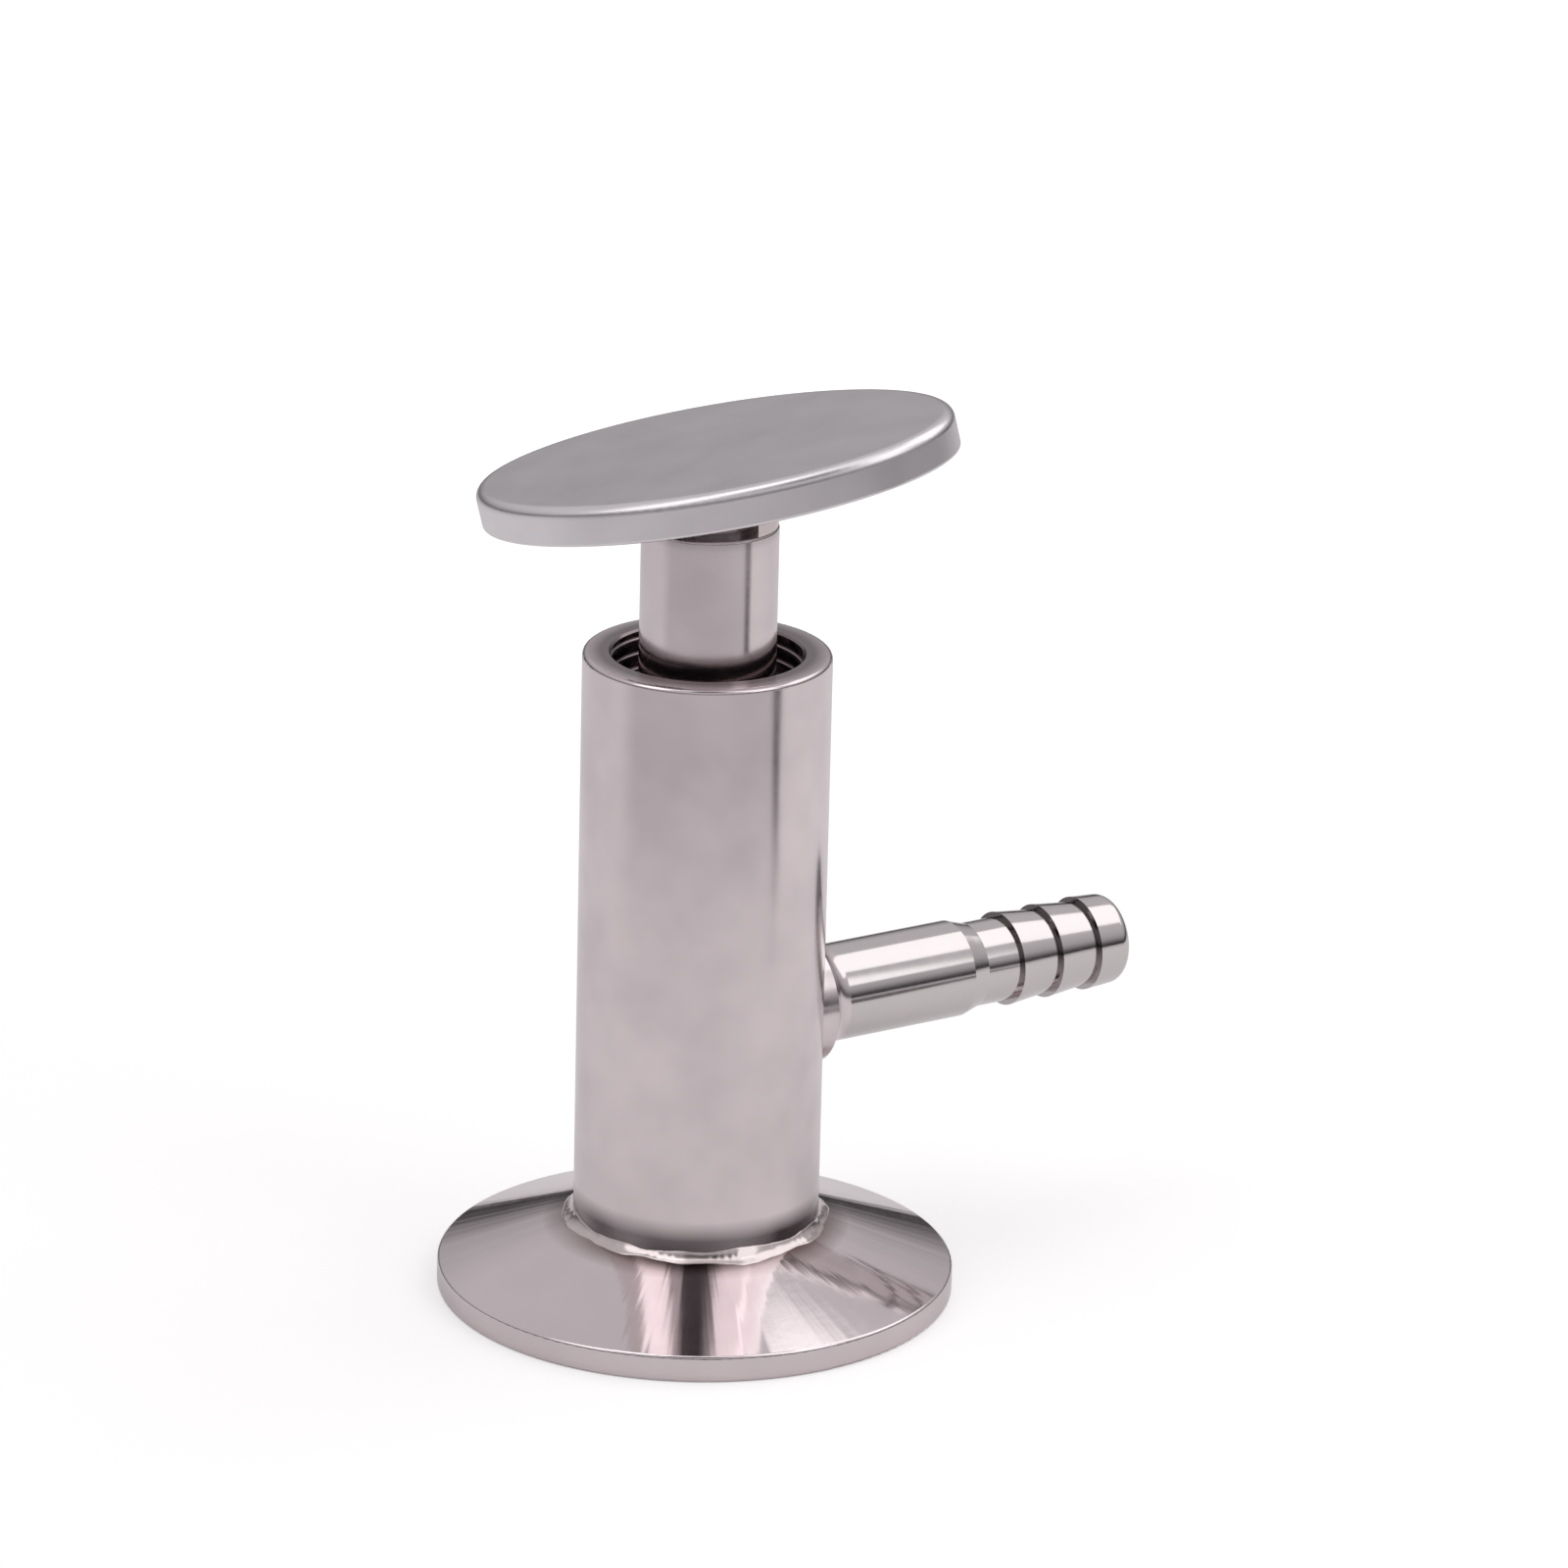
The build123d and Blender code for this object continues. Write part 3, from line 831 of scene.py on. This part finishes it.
def flag_strip(look):
    """Dark strip laid on the table, front right, that only shows as a line in the polish."""
    front = Vector((-math.cos(look), -math.sin(look), 0))
    away = front * math.cos(FLAG_ASIDE) + viewer_right(look) * math.sin(FLAG_ASIDE)
    far_side = away.cross(Vector((0, 0, 1))) * FLAG_HALF_WIDTH
    near_side = far_side * FLAG_TAPER
    lift = Vector((0, 0, FLAG_LIFT))
    near = away * FLAG_NEAR + lift
    far = away * FLAG_FAR + lift
    corners = [near - near_side, far - far_side, far + far_side, near + near_side]
    mesh = bpy.data.meshes.new("flag_strip")
    mesh.from_pydata(corners, [], [(0, 1, 2, 3)])
    material, _, shader = blank_material("dark card")
    shader.inputs["Base Color"].default_value = srgb(FLAG_TONE)
    shader.inputs["Roughness"].default_value = 0.9
    mesh.materials.append(material)
    only_in_polish(mesh)


def viewer_heading(tree, place, look):
    """Share of a turn round the vertical, with the viewer's side at 0.5."""
    turned = add_node(tree, "ShaderNodeMapping", Vector=place, Rotation=(0, 0, -look - math.pi))
    heading = add_node(
        tree, "ShaderNodeTexGradient", {"gradient_type": "RADIAL"}, Vector=turned.outputs["Vector"])
    return heading.outputs["Fac"]


def front_card(look):
    """Greyer table towards the viewer, from CARD_FADE out: only the polish shows it."""
    material, tree, shader = blank_material("grey card")
    shader.inputs["Roughness"].default_value = 0.9
    place = add_node(tree, "ShaderNodeTexCoord").outputs["Object"]
    reach = add_node(tree, "ShaderNodeVectorMath", {"operation": "LENGTH"}, {0: place})
    far = add_node(
        tree, "ShaderNodeMapRange", Value=reach.outputs["Value"],
        From_Min=CARD_FADE[0], From_Max=CARD_FADE[1], To_Min=0.0, To_Max=1.0)
    across = add_node(
        tree, "ShaderNodeValToRGB", stops=CARD_EDGES, Fac=viewer_heading(tree, place, look))
    amount = add_node(
        tree, "ShaderNodeMath", {"operation": "MULTIPLY"},
        {0: far.outputs["Result"], 1: across.outputs["Color"]})
    tone = add_node(tree, "ShaderNodeValToRGB", stops=CARD_TONES, Fac=amount.outputs["Value"])
    tree.links.new(tone.outputs["Color"], shader.inputs["Base Color"])
    rows = []
    for step in range(CARD_STEPS + 1):
        around = look + math.pi + math.radians(CARD_START + CARD_SWEEP * step / CARD_STEPS)
        rows.append([round_axis(r, around, CARD_LIFT) for r in CARD_RADII])
    mesh = mesh_from_rows("front_card", rows, closed_row=False)
    mesh.materials.append(material)
    only_in_polish(mesh)


def studio_world(look):
    """Light tent: white overhead, grey lower down, with panels and a gap high above the viewer.

    The camera sees it white.
    """
    world = bpy.data.worlds.new("light tent")
    world.use_nodes = True
    tree = world.node_tree
    tree.nodes.clear()
    place = add_node(tree, "ShaderNodeTexCoord").outputs["Generated"]
    height = add_node(tree, "ShaderNodeSeparateXYZ", Vector=place).outputs["Z"]
    walls = add_node(tree, "ShaderNodeValToRGB", stops=TENT_TONES, Fac=height)
    panels = add_node(
        tree, "ShaderNodeValToRGB", stops=PANEL_TONES, Fac=viewer_heading(tree, place, look))
    raised = add_node(tree, "ShaderNodeValToRGB", stops=PANEL_HEIGHTS, Fac=height)
    tented = add_node(
        tree, "ShaderNodeMix", {"data_type": "RGBA"},
        {COLOUR_A: walls.outputs["Color"], COLOUR_B: panels.outputs["Color"]},
        Factor=raised.outputs["Color"])
    tent = add_node(
        tree, "ShaderNodeBackground", Color=tented.outputs[COLOUR_RESULT], Strength=1.0)
    white = add_node(tree, "ShaderNodeBackground", Color=(1, 1, 1, 1), Strength=1.0)
    rays = add_node(tree, "ShaderNodeLightPath")
    pick = add_node(
        tree, "ShaderNodeMixShader", None,
        {0: rays.outputs["Is Camera Ray"], 1: tent.outputs[0], 2: white.outputs[0]})
    add_node(tree, "ShaderNodeOutputWorld", Surface=pick.outputs[0])
    return world


class VALVE_OT_stage(bpy.types.Operator):
    """Set the floor, the camera, the lamps, the cards and the world"""

    bl_idname = "valve.stage"
    bl_label = "Stage"

    def execute(self, context):
        scene = context.scene
        stage = scene.valve_stage
        look = stage.view_heading
        lay_floor(stage.floor_size, scene.valve_colours.floor)
        set_camera(stage)
        for name, aside, up, size, share in SOFTBOXES:
            heading = look + 2 * math.pi + math.radians(aside)
            hang_softbox(name, heading, math.radians(up), size, share * stage.lamp_power)
        flag_strip(look)
        front_card(look)
        scene.world = studio_world(look)
        scene.view_settings.view_transform = "Standard"
        return {"FINISHED"}


# ---------------------------------------------------------------- panel and run

class VALVE_PT_panel(bpy.types.Panel):
    """Steps that dress the valve, in order"""

    bl_idname = "VALVE_PT_panel"
    bl_label = "Sampling valve"
    bl_space_type = "VIEW_3D"
    bl_region_type = "UI"
    bl_category = "Valve"

    def draw(self, context):
        for operator in OPERATORS:
            self.layout.operator(operator.bl_idname)


OPERATORS = (
    VALVE_OT_steel_pieces,
    VALVE_OT_soft_pieces,
    VALVE_OT_threads,
    VALVE_OT_handle_joint,
    VALVE_OT_weld_beads,
    VALVE_OT_stage,
)
CLASSES = (ValveColours, ValveSizes, ValveStage, *OPERATORS, VALVE_PT_panel)


def register():
    """Register the classes and hang the settings on the scene."""
    for item in CLASSES:
        bpy.utils.register_class(item)
    bpy.types.Scene.valve_colours = PointerProperty(type=ValveColours)
    bpy.types.Scene.valve_sizes = PointerProperty(type=ValveSizes)
    bpy.types.Scene.valve_stage = PointerProperty(type=ValveStage)


def unregister():
    """Take the settings and the classes away again."""
    del bpy.types.Scene.valve_stage
    del bpy.types.Scene.valve_sizes
    del bpy.types.Scene.valve_colours
    for item in reversed(CLASSES):
        bpy.utils.unregister_class(item)


def main():
    """Run every step in order."""
    register()
    bpy.ops.valve.steel_pieces()
    bpy.ops.valve.soft_pieces()
    bpy.ops.valve.threads()
    bpy.ops.valve.handle_joint()
    bpy.ops.valve.weld_beads()
    bpy.ops.valve.stage()


if __name__ == "__main__":
    main()
